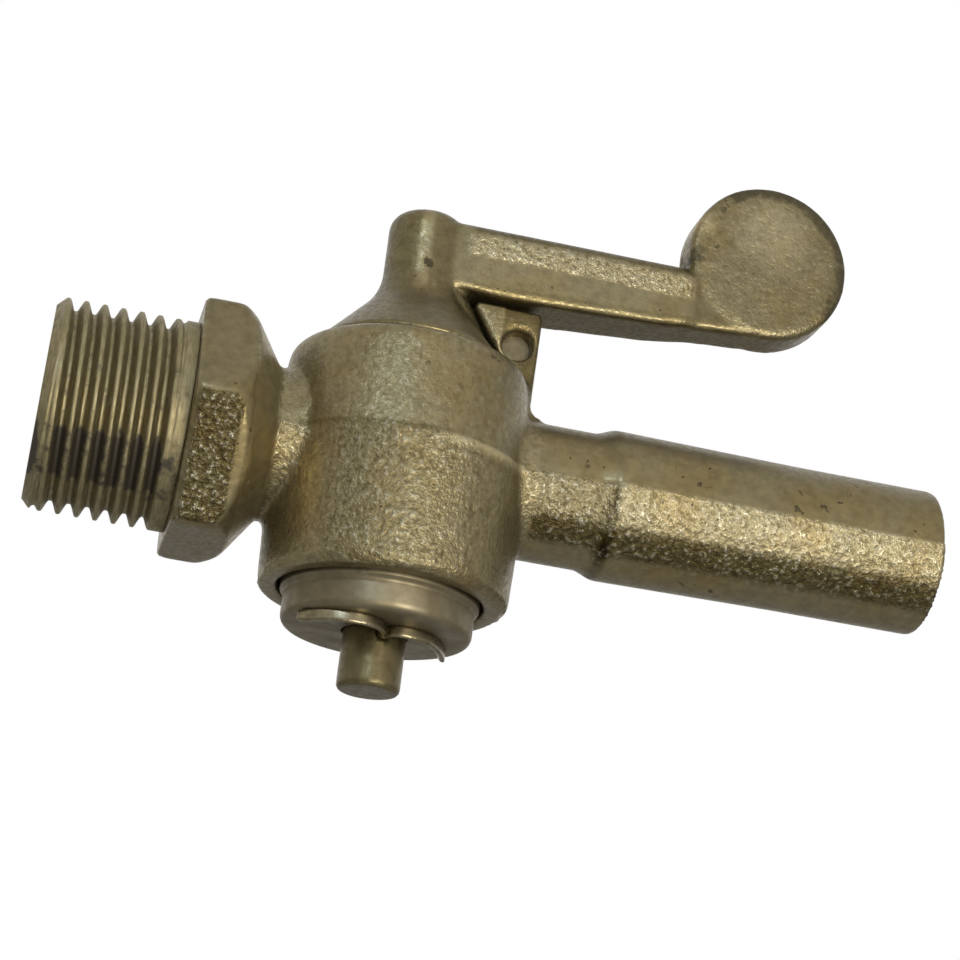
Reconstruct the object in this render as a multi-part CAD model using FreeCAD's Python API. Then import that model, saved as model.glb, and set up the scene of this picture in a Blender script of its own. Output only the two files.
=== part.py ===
import FreeCAD, Part

import math
import os

# Spring-loaded taper-plug vacuum tap for a milking line, drawn open, in millimetres.
# X runs along the flow from the inlet thread to the hose tail, and Z along the plug towards the lever.
# The origin is the centre of the inlet thread where it meets the seating face of the hexagon.

# Inlet spigot with its right-hand G 1/2 parallel thread, and the plain collar left at the hexagon
THREAD_MAJOR_R = 10.4775
THREAD_PITCH = 1.814
THREAD_DEPTH = 1.16
THREAD_HALF_FLAT = 0.15
THREAD_COLLAR = 1.2
THREAD_CLOCK = 12.1
THREAD_OVERCUT = 0.1
SPIGOT_SECTORS = 4
SECTOR_LEAD = 0.5
SPIGOT_LENGTH = 14.0
SPIGOT_CHAMFER = 0.9
INLET_BORE_R = 6.5
INLET_BORE_MOUTH = 0.5

# Cast hexagon and the cone that blends it into the round throat
HEX_ACROSS_FLATS = 23.2
HEX_CORNER_ROUND = 0.9
HEX_CORNER_LENGTH = 3.7
HEX_BLEND_LENGTH = 1.7
HEX_BLEND_DROP = 1.4
HEX_FRONT_CHAMFER = 0.5
THROAT_R = 7.6
THROAT_LENGTH = 8.45

# Barrel that holds the plug, with a fillet where the neck and the throat leave it
BARREL_MID_R = 12.9
BARREL_TO_THROAT = 0.45
JUNCTION_FILLET = 0.8
BARREL_TOP_DRAFT = 0.95
BARREL_FOOT_DRAFT = 0.62
BARREL_TOP_Z = 10.95
BARREL_FOOT_Z = -14.0
SHOULDER_ROUND = 1.65
FOOT_ROUND = 1.1

# Hose tail
NECK_R = 6.97
NECK_LENGTH = 6.7
TAIL_STEP_LENGTH = 1.7
TAIL_ROOT_R = 7.68
TAIL_END_R = 7.45
TAIL_LENGTH = 36.05
TAIL_LAND_LENGTH = 15.0
TAIL_END_ROUND = 0.55
TAIL_BORE_R = 5.4
PORT_WALL_INSET = 0.3

# Flow port through the plug and the barrel wall
PORT_R = 4.5

# Taper seat and plug
TAPER_PER_MM = 1.0 / 12.0
SEAT_WALL = 4.6
PLUG_TOP_Z = 10.95
PLUG_CLEARANCE = 0.03
PLUG_FOOT_Z = -9.0
SEAT_FOOT_Z = -8.4
POCKET_WALL = 2.7

# Stem of the plug and its cross hole
STEM_R = 3.14
STEM_END_Z = -23.3
STEM_END_ROUND = 0.45

# Skirt, flare and boss of the lever
SKIRT_INSET = 3.15
SKIRT_GAP = 0.3
SKIRT_LIP = 0.45
FLARE_SLOPE = 0.91
FLARE_ROUND = 6.2
BOSS_R = 3.9
BOSS_TOP_Z = 27.35
BOSS_TOP_ROUND = 1.9

# Lever arm and thumb disc
ARM_ROOT_HALF = 3.2
ARM_MID_X = 14.0
ARM_MID_HALF = 3.3
ARM_STEP_X = 27.4
ARM_STEP_HALF = 2.75
ARM_STEP_LENGTH = 1.6
ARM_TIP_HALF = 2.35
ARM_ROOT_UNDER_Z = 19.1
ARM_MID_UNDER_Z = 19.5
ARM_STEP_UNDER_Z = 20.3
ARM_TIP_UNDER_Z = 20.75
ARM_ROOT_TOP_Z = 26.85
ARM_MID_TOP_Z = 26.85
ARM_TIP_TOP_Z = 27.1
ARM_TOP_ROUND = 1.9
ARM_UNDER_ROUND = 0.6
DISC_X = 36.2
DISC_Z = 29.3
DISC_R = 8.56
DISC_HALF = 2.45
DISC_EDGE_ROUND = 0.7

# Gusset under the arm, beside the web's inner edge
GUSSET_HALF = 3.0
GUSSET_GAP = 0.25
GUSSET_ROUND = 1.9

# Stop web on the barrel, and the rib under the lever that meets it
WEB_FRONT_Y = -2.6
WEB_THICKNESS = 2.8
WEB_OUTER_INSET = 0.25
WEB_OUTER_DRAFT = 0.55
WEB_TOP_Z = 18.3
WEB_TOP_OVER_SKIRT = 4.45
WEB_BEND_OVER_SKIRT = 1.65
WEB_INNER_BEND_Z = 13.8
WEB_FLARE_GAP = 0.3
WEB_FOOT_FILLET = 1.2
STOP_CLEARANCE = 0.05
RIB_THICKNESS = 2.25
RIB_SET_BACK = 0.55
RIB_FOOT_GAP = 0.55

# Lug that stops the lever when the tap is shut, a quarter turn from the web
LUG_WIDTH = 2.4
LUG_SKIRT_GAP = 0.55
LUG_TOP_Z = 13.4
LUG_ROOT_Z = 8.0

# Stop pin pressed through the web
STOP_PIN_R = 1.65
STOP_PIN_FROM_EDGE = 2.3
STOP_PIN_Z = 14.45
STOP_PIN_SUNK = 1.5
STOP_PIN_PROUD = 0.7
STOP_PIN_CHAMFER = 0.15

# Pressed spring cup
CUP_SIDE_GAP = 0.75
CUP_WALL = 0.8
CUP_FLOOR_Z = -17.45
CUP_TOP_Z = -11.2
CUP_EDGE_ROUND = 1.4
CUP_STEM_CLEARANCE = 0.16
CUP_LIP = 0.4
CUP_LIP_Z = -14.5

# Compression spring with ground ends
SPRING_WIRE = 1.3
SPRING_SIDE_GAP = 0.45
SPRING_TURNS = 4.0
SPRING_GRIND = 0.3
SPRING_END_GAP = 0.02

# Split pin of half-round wire
SPLIT_PIN_R = 0.54
SPLIT_PIN_CLEARANCE = 0.1
SPLIT_PIN_DROP = 0.02
SPLIT_PIN_YAW = 6.0
SPLIT_GAP = 0.04
EYE_R = 1.0
EYE_SHANK = 4.3
LEFT_STRAIGHT = 3.45
LEFT_CURL_R = 3.2
LEFT_SWEEP_R = 5.6
LEFT_TIP = 1.8
RIGHT_STRAIGHT = 3.3
RIGHT_CURL_R = 1.75
RIGHT_TURN_R = 4.0
RIGHT_SWEEP_R = 14.0
RIGHT_TIP = 0.3

V = FreeCAD.Vector
ORIGIN = V(0, 0, 0)
X_AXIS = V(1, 0, 0)
Y_AXIS = V(0, 1, 0)
Z_AXIS = V(0, 0, 1)

PLUG_X = THROAT_LENGTH + BARREL_TO_THROAT + BARREL_MID_R
PLUG_AXIS = V(PLUG_X, 0, 0)
BARREL_TOP_R = BARREL_MID_R - BARREL_TOP_DRAFT
BARREL_FOOT_R = BARREL_MID_R - BARREL_FOOT_DRAFT
PLUG_TOP_R = BARREL_MID_R - SEAT_WALL
SPRING_POCKET_R = BARREL_MID_R - POCKET_WALL
CUP_R = SPRING_POCKET_R - CUP_SIDE_GAP
NECK_END_X = PLUG_X + BARREL_MID_R + NECK_LENGTH
TAIL_END_X = NECK_END_X + TAIL_LENGTH
TAIL_BORE_START = BARREL_MID_R - PORT_WALL_INSET
SKIRT_R = BARREL_MID_R - SKIRT_INSET
WEB_OUTER_X = BARREL_MID_R - WEB_OUTER_INSET
WEB_INNER_TOP_X = SKIRT_R - WEB_TOP_OVER_SKIRT
WEB_INNER_BEND_X = SKIRT_R - WEB_BEND_OVER_SKIRT
STOP_PIN_X = WEB_OUTER_X - STOP_PIN_FROM_EDGE
RIB_OUTER_X = WEB_OUTER_X - RIB_SET_BACK
LUG_INNER_R = SKIRT_R + LUG_SKIRT_GAP
WEB_BACK_Y = WEB_FRONT_Y + WEB_THICKNESS
SPRING_MEAN_R = CUP_R - CUP_WALL - SPRING_SIDE_GAP - SPRING_WIRE / 2
SKIRT_Z = BARREL_TOP_Z + SKIRT_GAP
SPLIT_PIN_Z = CUP_FLOOR_Z - SPLIT_PIN_R - SPLIT_PIN_DROP


def seat_r(z):
    """Radius of the taper seat at height z."""
    return PLUG_TOP_R - TAPER_PER_MM * (PLUG_TOP_Z - z)


def flare_r(z):
    """Radius of the straight part of the lever's flare at height z."""
    return SKIRT_R - FLARE_SLOPE * (z - SKIRT_Z - SKIRT_LIP)


def rounded_wire(corners, to_point):
    """Closed wire through (u, v, radius) corners, each rounded by a tangent arc of its radius."""
    count = len(corners)
    rounds = []
    for i in range(count):
        here = V(corners[i][0], corners[i][1], 0)
        before = V(corners[i - 1][0], corners[i - 1][1], 0)
        after = V(corners[(i + 1) % count][0], corners[(i + 1) % count][1], 0)
        back = (before - here).normalize()
        ahead = (after - here).normalize()
        radius = corners[i][2]
        if radius <= 0:
            rounds.append((here, None, here))
            continue
        half = back.getAngle(ahead) / 2
        reach = radius / math.tan(half)
        bisector = (back + ahead).normalize()
        middle = here + bisector * (radius / math.sin(half) - radius)
        rounds.append((here + back * reach, middle, here + ahead * reach))
    edges = []
    for i in range(count):
        start, middle, end = rounds[i]
        if middle is not None:
            edges.append(Part.Arc(to_point(start), to_point(middle), to_point(end)).toShape())
        following = rounds[(i + 1) % count][0]
        if end.distanceToPoint(following) > 1e-6:
            edges.append(Part.LineSegment(to_point(end), to_point(following)).toShape())
    return Part.Wire(edges)


def turned_on_plug(corners):
    """Solid of revolution about the plug axis from (radius, z, round) corners."""
    wire = rounded_wire(corners, lambda p: V(PLUG_X + p.x, 0, p.y))
    return Part.Face(wire).revolve(PLUG_AXIS, Z_AXIS, 360)


def turned_on_flow(corners):
    """Solid of revolution about the flow axis from (x, radius, round) corners."""
    wire = rounded_wire(corners, lambda p: V(p.x, 0, p.y))
    return Part.Face(wire).revolve(ORIGIN, X_AXIS, 360)


def plate(corners, front_y, thickness):
    """Flat plate from (x from the plug axis, z, round) corners, from front_y back by thickness."""
    wire = rounded_wire(corners, lambda p: V(PLUG_X + p.x, front_y, p.y))
    return Part.Face(wire).extrude(V(0, thickness, 0))


def web_edge_x(z):
    """Outer edge of the stop web at height z, leaning out towards its top."""
    return WEB_OUTER_X - WEB_OUTER_DRAFT * (WEB_TOP_Z - z) / WEB_TOP_Z


def plug_cylinder(radius, low_z, high_z):
    """Cylinder on the plug axis between two heights."""
    return Part.makeCylinder(radius, high_z - low_z, V(PLUG_X, 0, low_z), Z_AXIS)


def flow_cylinder(radius, low_x, high_x):
    """Cylinder on the flow axis between two stations."""
    return Part.makeCylinder(radius, high_x - low_x, V(low_x, 0, 0), X_AXIS)


def inlet_spigot():
    """Threaded spigot: a chamfered blank with one helical groove cut to the collar.

    It is joined from equal sectors, the first from just before the groove's end, so that each face of
    the crest is a short arc of the thread.
    """
    blank = turned_on_flow([
        (-SPIGOT_LENGTH, 0, 0),
        (-SPIGOT_LENGTH, THREAD_MAJOR_R - SPIGOT_CHAMFER, 0),
        (-SPIGOT_LENGTH + SPIGOT_CHAMFER, THREAD_MAJOR_R, 0),
        (1.0, THREAD_MAJOR_R, 0),
        (1.0, 0, 0),
    ])
    half_top = THREAD_PITCH / 2 - THREAD_HALF_FLAT
    half_mouth = half_top + THREAD_OVERCUT * (half_top - THREAD_HALF_FLAT) / THREAD_DEPTH
    mouth_r = THREAD_MAJOR_R + THREAD_OVERCUT
    root_r = THREAD_MAJOR_R - THREAD_DEPTH
    corners = [
        V(mouth_r, 0, -half_mouth),
        V(root_r, 0, -THREAD_HALF_FLAT),
        V(root_r, 0, THREAD_HALF_FLAT),
        V(mouth_r, 0, half_mouth),
    ]
    section = Part.makePolygon(corners + corners[:1])
    length = SPIGOT_LENGTH + 0.05 - THREAD_COLLAR
    helix = Part.makeHelix(THREAD_PITCH, length, THREAD_MAJOR_R)
    groove = Part.Wire(helix).makePipeShell([section], True, True)
    groove.rotate(ORIGIN, Y_AXIS, 90)
    groove.rotate(ORIGIN, X_AXIS, THREAD_CLOCK)
    groove.translate(V(-SPIGOT_LENGTH - half_top - 0.05, 0, 0))
    threaded = blank.cut(groove)
    sweep = 360.0 / SPIGOT_SECTORS
    first = 360.0 * length / THREAD_PITCH + THREAD_CLOCK - 180.0 - SECTOR_LEAD
    reach = 2 * THREAD_MAJOR_R
    sectors = []
    for i in range(SPIGOT_SECTORS):
        wedge = Part.makeCylinder(reach, 2 * SPIGOT_LENGTH, V(-1.5 * SPIGOT_LENGTH, 0, 0), X_AXIS, sweep)
        wedge.rotate(ORIGIN, X_AXIS, first + i * sweep)
        sectors.append(threaded.common(wedge))
    return sectors[0].fuse(sectors[1:])


def hexagon_casting():
    """Hexagon with a corner facing front, trimmed at the back by the cone that leads to the throat."""
    corner_r = HEX_ACROSS_FLATS / 2 / math.cos(math.radians(30))
    corners = []
    for i in range(6):
        angle = math.radians(60 * i)
        corners.append((corner_r * math.cos(angle), corner_r * math.sin(angle), HEX_CORNER_ROUND))
    wire = rounded_wire(corners, lambda p: V(0, p.x, p.y))
    prism = Part.Face(wire).extrude(V(THROAT_LENGTH, 0, 0))
    blend_x = HEX_CORNER_LENGTH + HEX_BLEND_LENGTH
    blend_r = corner_r - HEX_BLEND_DROP
    trimmer = turned_on_flow([
        (0, 0, 0),
        (0, corner_r - HEX_FRONT_CHAMFER, 0),
        (HEX_FRONT_CHAMFER, corner_r, 0),
        (HEX_CORNER_LENGTH, corner_r, 1.0),
        (blend_x, blend_r, 2.0),
        (THROAT_LENGTH, THROAT_R, 0),
        (THROAT_LENGTH, 0, 0),
    ])
    return prism.common(trimmer)


def barrel_casting():
    """Barrel drafted both ways from the mould's parting plane at mid-height."""
    return turned_on_plug([
        (0, BARREL_FOOT_Z, 0),
        (BARREL_FOOT_R, BARREL_FOOT_Z, FOOT_ROUND),
        (BARREL_MID_R, 0, 3.0),
        (BARREL_TOP_R, BARREL_TOP_Z, SHOULDER_ROUND),
        (0, BARREL_TOP_Z, 0),
    ])


def tail_casting():
    """Neck, step and plain hose tail beyond the barrel."""
    return turned_on_flow([
        (PLUG_X, 0, 0),
        (PLUG_X, NECK_R, 0),
        (NECK_END_X, NECK_R, 1.0),
        (NECK_END_X + TAIL_STEP_LENGTH, TAIL_ROOT_R, 1.2),
        (TAIL_END_X - TAIL_LAND_LENGTH, TAIL_END_R, 0),
        (TAIL_END_X, TAIL_END_R, TAIL_END_ROUND),
        (TAIL_END_X, 0, 0),
    ])


def web_corners():
    """Outline of the stop web, whose inner edge runs beside the lever's flare."""
    foot_z = SKIRT_Z + SKIRT_LIP
    inner_foot_x = flare_r(foot_z) + WEB_FLARE_GAP
    return [
        (WEB_INNER_TOP_X, WEB_TOP_Z, 0.3),
        (WEB_INNER_BEND_X, WEB_INNER_BEND_Z, 3.0),
        (inner_foot_x, foot_z, 0),
        (inner_foot_x, 0, 0),
        (web_edge_x(0), 0, 0),
        (WEB_OUTER_X, WEB_TOP_Z, 0.25),
    ]


def web_foot_fillet():
    """Fillet of metal in the corner between the web's outer edge and the neck."""
    top_z = NECK_R + WEB_FOOT_FILLET
    inner_x = web_edge_x(top_z) - WEB_THICKNESS / 2
    outer_x = web_edge_x(top_z) + WEB_FOOT_FILLET
    corners = [(inner_x, 0, 0), (outer_x, 0, 0), (outer_x, top_z, 0), (inner_x, top_z, 0)]
    block = plate(corners, WEB_FRONT_Y, WEB_THICKNESS)
    centre = V(PLUG_X + outer_x, WEB_FRONT_Y - 1, top_z)
    return block.cut(Part.makeCylinder(WEB_FOOT_FILLET, WEB_THICKNESS + 2, centre, Y_AXIS))


def closed_stop_lug():
    """Low lug on the barrel's shoulder that the rib meets after a quarter turn."""
    rib_back = WEB_BACK_Y + STOP_PIN_PROUD + STOP_CLEARANCE + RIB_THICKNESS
    ring = plug_cylinder(BARREL_TOP_R, LUG_ROOT_Z, LUG_TOP_Z)
    ring = ring.cut(plug_cylinder(LUG_INNER_R, LUG_ROOT_Z - 1, LUG_TOP_Z + 1))
    right_x = PLUG_X - rib_back - STOP_CLEARANCE
    slot = Part.makeBox(
        LUG_WIDTH, 2 * BARREL_TOP_R, 2 * LUG_TOP_Z, V(right_x - LUG_WIDTH, 0, LUG_ROOT_Z)
    )
    return ring.common(slot)


def filleted_trunk():
    """Barrel, neck and throat as one piece, with a cast fillet round both junctions."""
    throat = flow_cylinder(THROAT_R, THROAT_LENGTH - 0.5, PLUG_X)
    trunk = barrel_casting().fuse([throat, tail_casting()]).removeSplitter()
    reach = max(NECK_R, THROAT_R) + 0.2
    junction = []
    for edge in trunk.Edges:
        box = edge.BoundBox
        near_flow = max(abs(box.YMin), abs(box.YMax), abs(box.ZMin), abs(box.ZMax)) < reach
        distance = abs(box.Center.x - PLUG_X)
        if near_flow and NECK_R < distance < BARREL_MID_R and box.YLength > 1:
            junction.append(edge)
    return trunk.makeFillet(JUNCTION_FILLET, junction)


def valve_body():
    """One-piece casting with its bores, seat, spring pocket and the hole for the stop pin."""
    web = plate(web_corners(), WEB_FRONT_Y, WEB_THICKNESS)
    body = filleted_trunk().fuse([
        hexagon_casting(), web, web_foot_fillet(), closed_stop_lug()
    ]).removeSplitter()
    body = body.fuse(inlet_spigot())
    inlet_end_x = PLUG_X - TAIL_BORE_START
    mouth_r = INLET_BORE_R + INLET_BORE_MOUTH
    inlet_bore = turned_on_flow([
        (-SPIGOT_LENGTH - 1, 0, 0),
        (-SPIGOT_LENGTH - 1, mouth_r + 1, 0),
        (-SPIGOT_LENGTH + INLET_BORE_MOUTH, INLET_BORE_R, 0),
        (THROAT_LENGTH - 5.0, INLET_BORE_R, 0),
        (THROAT_LENGTH - 1.0, PORT_R, 0),
        (inlet_end_x, PORT_R, 0),
        (inlet_end_x, 0, 0),
    ])
    port = flow_cylinder(PORT_R, inlet_end_x - 0.5, PLUG_X + TAIL_BORE_START)
    tail_bore = turned_on_flow([
        (PLUG_X + TAIL_BORE_START - 1.0, 0, 0),
        (PLUG_X + TAIL_BORE_START - 1.0, PORT_R, 0),
        (PLUG_X + TAIL_BORE_START, TAIL_BORE_R, 0),
        (TAIL_END_X + 1, TAIL_BORE_R, 0),
        (TAIL_END_X + 1, 0, 0),
    ])
    seat = turned_on_plug([
        (0, SEAT_FOOT_Z - 1, 0),
        (seat_r(SEAT_FOOT_Z - 1), SEAT_FOOT_Z - 1, 0),
        (seat_r(BARREL_TOP_Z + 1), BARREL_TOP_Z + 1, 0),
        (0, BARREL_TOP_Z + 1, 0),
    ])
    pocket = plug_cylinder(SPRING_POCKET_R, BARREL_FOOT_Z - 1, SEAT_FOOT_Z)
    pin_hole = Part.makeCylinder(
        STOP_PIN_R, WEB_THICKNESS + 2, V(PLUG_X + STOP_PIN_X, WEB_FRONT_Y - 1, STOP_PIN_Z), Y_AXIS
    )
    for tool in (inlet_bore, port, tail_bore, seat, pocket, pin_hole):
        body = body.cut(tool)
    return body


def lever_arm():
    """Arm that thins from the boss to the disc and steps down to its face, well rounded on top."""
    step_end_x = ARM_STEP_X + ARM_STEP_LENGTH
    sections = []
    for x, half, low, high in (
        (0, ARM_ROOT_HALF, ARM_ROOT_UNDER_Z, ARM_ROOT_TOP_Z),
        (ARM_MID_X, ARM_MID_HALF, ARM_MID_UNDER_Z, ARM_MID_TOP_Z),
        (ARM_STEP_X, ARM_STEP_HALF, ARM_STEP_UNDER_Z, ARM_TIP_TOP_Z),
        (step_end_x, ARM_TIP_HALF, ARM_STEP_UNDER_Z, ARM_TIP_TOP_Z),
        (DISC_X - 1.0, ARM_TIP_HALF, ARM_TIP_UNDER_Z, ARM_TIP_TOP_Z),
    ):
        corners = [
            (-half, low, ARM_UNDER_ROUND),
            (half, low, ARM_UNDER_ROUND),
            (half, high, ARM_TOP_ROUND),
            (-half, high, ARM_TOP_ROUND),
        ]
        sections.append(rounded_wire(corners, lambda p, x=x: V(PLUG_X + x, p.x, p.y)))
    return Part.makeLoft(sections, True, True)


def arm_gusset():
    """Gusset that fills the corner between flare and arm, its outer edge beside the web's."""
    foot_z = SKIRT_Z + SKIRT_LIP
    top_z = ARM_ROOT_UNDER_Z + 1.5
    lean = (WEB_INNER_BEND_X - WEB_INNER_TOP_X) / (WEB_TOP_Z - WEB_INNER_BEND_Z)
    top_x = WEB_INNER_TOP_X - GUSSET_GAP - lean * (top_z - WEB_TOP_Z)
    gusset = plate([
        (0, foot_z, 0),
        (flare_r(foot_z) - GUSSET_GAP, foot_z, 0),
        (WEB_INNER_BEND_X - GUSSET_GAP, WEB_INNER_BEND_Z, 0),
        (top_x, top_z, 0),
        (0, top_z, 0),
    ], -GUSSET_HALF, 2 * GUSSET_HALF)
    outer = []
    for edge in gusset.Edges:
        box = edge.BoundBox
        if box.YLength < 0.01 and box.XLength > 0.01 and box.ZLength > 0.01:
            outer.append(edge)
    return gusset.makeFillet(GUSSET_ROUND, outer)


def thumb_disc():
    """Round thumb disc on edge, its bottom level with the underside of the arm."""
    wire = rounded_wire([
        (0, -DISC_HALF, 0),
        (DISC_R, -DISC_HALF, DISC_EDGE_ROUND),
        (DISC_R, DISC_HALF, DISC_EDGE_ROUND),
        (0, DISC_HALF, 0),
    ], lambda p: V(PLUG_X + DISC_X + p.x, p.y, DISC_Z))
    return Part.Face(wire).revolve(V(PLUG_X + DISC_X, 0, DISC_Z), Y_AXIS, 360)


def split_pin_hole():
    """Cross hole through the stem for the split pin."""
    direction = V(math.sin(math.radians(SPLIT_PIN_YAW)), -math.cos(math.radians(SPLIT_PIN_YAW)), 0)
    start = V(PLUG_X, 0, SPLIT_PIN_Z) - direction * (2 * STEM_R)
    return Part.makeCylinder(SPLIT_PIN_R + SPLIT_PIN_CLEARANCE, 4 * STEM_R, start, direction)


def lever_plug():
    """Taper plug, stem, flare, boss, arm and disc, cast in one and machined on the taper and stem."""
    lip_z = SKIRT_Z + SKIRT_LIP
    boss_meet_z = lip_z + (SKIRT_R - BOSS_R) / FLARE_SLOPE
    turned = turned_on_plug([
        (0, STEM_END_Z, 0),
        (STEM_R, STEM_END_Z, STEM_END_ROUND),
        (STEM_R, PLUG_FOOT_Z, 0.3),
        (seat_r(PLUG_FOOT_Z) - PLUG_CLEARANCE, PLUG_FOOT_Z, 0.3),
        (seat_r(SKIRT_Z) - PLUG_CLEARANCE, SKIRT_Z, 0),
        (SKIRT_R, SKIRT_Z, 0.15),
        (SKIRT_R, lip_z, 0.15),
        (BOSS_R, boss_meet_z, FLARE_ROUND),
        (BOSS_R, BOSS_TOP_Z, BOSS_TOP_ROUND),
        (0, BOSS_TOP_Z, 0),
    ])
    rib_front = WEB_BACK_Y + STOP_PIN_PROUD + STOP_CLEARANCE
    rib_foot_z = BARREL_TOP_Z + RIB_FOOT_GAP
    rib = plate([
        (BOSS_R - 1, ARM_ROOT_UNDER_Z + 2, 0),
        (BOSS_R - 1, SKIRT_Z + 1, 0),
        (flare_r(SKIRT_Z + 1) - 0.5, SKIRT_Z + 1, 0),
        (flare_r(SKIRT_Z + 1) - 0.5, rib_foot_z, 0),
        (RIB_OUTER_X, rib_foot_z, 0.4),
        (RIB_OUTER_X, ARM_ROOT_UNDER_Z + 2, 0),
    ], rib_front, RIB_THICKNESS)
    lever = turned.fuse([lever_arm(), thumb_disc(), arm_gusset(), rib])
    flow_port = flow_cylinder(PORT_R, PLUG_X - PLUG_TOP_R - 1, PLUG_X + PLUG_TOP_R + 1)
    return lever.cut(flow_port).cut(split_pin_hole()).removeSplitter()


def stop_pin():
    """Plain pin pressed through the web, sunk at the front and proud at the back."""
    start = WEB_FRONT_Y + STOP_PIN_SUNK
    end = WEB_BACK_Y + STOP_PIN_PROUD
    wire = rounded_wire([
        (0, start, 0),
        (STOP_PIN_R - STOP_PIN_CHAMFER, start, 0),
        (STOP_PIN_R, start + STOP_PIN_CHAMFER, 0),
        (STOP_PIN_R, end - STOP_PIN_CHAMFER, 0),
        (STOP_PIN_R - STOP_PIN_CHAMFER, end, 0),
        (0, end, 0),
    ], lambda p: V(PLUG_X + STOP_PIN_X + p.x, p.y, STOP_PIN_Z))
    return Part.Face(wire).revolve(V(PLUG_X + STOP_PIN_X, 0, STOP_PIN_Z), Y_AXIS, 360)


def spring_cup():
    """Pressed cup that holds the spring against the body, with a hole for the stem in its floor."""
    inner_r = CUP_R - CUP_WALL
    inner_floor_z = CUP_FLOOR_Z + CUP_WALL
    inner_round = max(CUP_EDGE_ROUND - CUP_WALL, 0.1)
    lip_r = CUP_R + CUP_LIP
    return turned_on_plug([
        (STEM_R + CUP_STEM_CLEARANCE, CUP_FLOOR_Z, 0),
        (CUP_R, CUP_FLOOR_Z, CUP_EDGE_ROUND),
        (CUP_R, CUP_LIP_Z, 0),
        (lip_r, CUP_LIP_Z + CUP_LIP, 0),
        (lip_r, CUP_TOP_Z, 0.1),
        (inner_r, CUP_TOP_Z, 0.1),
        (inner_r, inner_floor_z, inner_round),
        (STEM_R + CUP_STEM_CLEARANCE, inner_floor_z, 0),
    ])


def spring():
    """Round-wire compression spring between the body and the cup, its ends ground flat."""
    low_z = CUP_FLOOR_Z + CUP_WALL + SPRING_END_GAP
    high_z = SEAT_FOOT_Z - SPRING_END_GAP
    rise = high_z - low_z - SPRING_WIRE + 2 * SPRING_GRIND
    start_z = low_z + SPRING_WIRE / 2 - SPRING_GRIND
    helix = Part.makeHelix(rise / SPRING_TURNS, rise, SPRING_MEAN_R)
    helix.translate(V(PLUG_X, 0, start_z))
    circle = Part.Circle(V(PLUG_X + SPRING_MEAN_R, 0, start_z), Y_AXIS, SPRING_WIRE / 2)
    profile = Part.Wire(circle.toShape())
    coil = Part.Wire(helix).makePipeShell([profile], True, True)
    return coil.common(plug_cylinder(2 * SPRING_MEAN_R, low_z, high_z))


def leg_path(straight, bends, tip, side):
    """Centre line of a flat face: out of the stem towards the front, then curled to one side."""
    point = V(0, 0, 0)
    heading = V(0, -1, 0)
    edges = [Part.LineSegment(point, point + heading * straight).toShape()]
    point = point + heading * straight
    for radius, turn in bends:
        across = V(-heading.y * side, heading.x * side, 0)
        centre = point + across * radius
        angles = [math.radians(turn / 2), math.radians(turn)]
        middle, end = [
            centre - across * (radius * math.cos(a)) + heading * (radius * math.sin(a)) for a in angles
        ]
        edges.append(Part.Arc(point, middle, end).toShape())
        heading = heading * math.cos(angles[1]) + across * math.sin(angles[1])
        point = end
    edges.append(Part.LineSegment(point, point + heading * tip).toShape())
    return Part.Wire(edges)


def half_round(side):
    """Half-round section at the start of a leg, its flat facing away from the side it lies on."""
    flat_x = side * SPLIT_GAP / 2
    top = V(flat_x, 0, SPLIT_PIN_R)
    bottom = V(flat_x, 0, -SPLIT_PIN_R)
    crown = V(side * SPLIT_PIN_R, 0, 0)
    return Part.Wire([
        Part.Arc(top, crown, bottom).toShape(),
        Part.LineSegment(bottom, top).toShape(),
    ])


def split_pin():
    """Split pin: eye behind the stem, two half-round legs through it, curled apart in front."""
    legs = []
    left_bends = ((LEFT_CURL_R, 88.0), (LEFT_SWEEP_R, 52.0))
    right_bends = ((RIGHT_CURL_R, 85.0), (RIGHT_TURN_R, 55.0), (RIGHT_SWEEP_R, 20.0))
    for straight, bends, tip, side in (
        (LEFT_STRAIGHT, left_bends, LEFT_TIP, -1),
        (RIGHT_STRAIGHT, right_bends, RIGHT_TIP, 1),
    ):
        path = leg_path(straight, bends, tip, side)
        front = path.makePipeShell([half_round(side)], True, True)
        back = Part.Face(half_round(side)).extrude(V(0, EYE_SHANK, 0))
        legs.append(front.fuse(back))
    eye_y = EYE_SHANK + EYE_R
    eye = Part.makeTorus(EYE_R, SPLIT_PIN_R * 0.8, V(0, eye_y, 0), Z_AXIS)
    side = 4 * (EYE_R + SPLIT_PIN_R)
    eye = eye.common(Part.makeBox(side, side, side, V(-side / 2, EYE_SHANK - SPLIT_PIN_R / 2, -side / 2)))
    pin = legs[0].fuse([legs[1], eye])
    pin.rotate(ORIGIN, Z_AXIS, SPLIT_PIN_YAW)
    pin.translate(V(PLUG_X, 0, SPLIT_PIN_Z))
    return pin.removeSplitter()


PARTS = {
    "valve_body": valve_body,
    "lever_plug": lever_plug,
    "stop_pin": stop_pin,
    "spring_cup": spring_cup,
    "spring": spring,
    "split_pin": split_pin,
}

os.makedirs("parts", exist_ok=True)
for name, make in PARTS.items():
    shape = make()
    box = shape.BoundBox
    print(
        name, "solids", len(shape.Solids), "valid", shape.isValid(), "volume", round(shape.Volume, 2),
        "x", round(box.XMin, 2), round(box.XMax, 2), "y", round(box.YMin, 2), round(box.YMax, 2),
        "z", round(box.ZMin, 2), round(box.ZMax, 2),
    )
    shape.exportStep("parts/" + name + ".step")
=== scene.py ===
import math

import bmesh
import bpy
import numpy as np
from mathutils import Matrix, Vector


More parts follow.
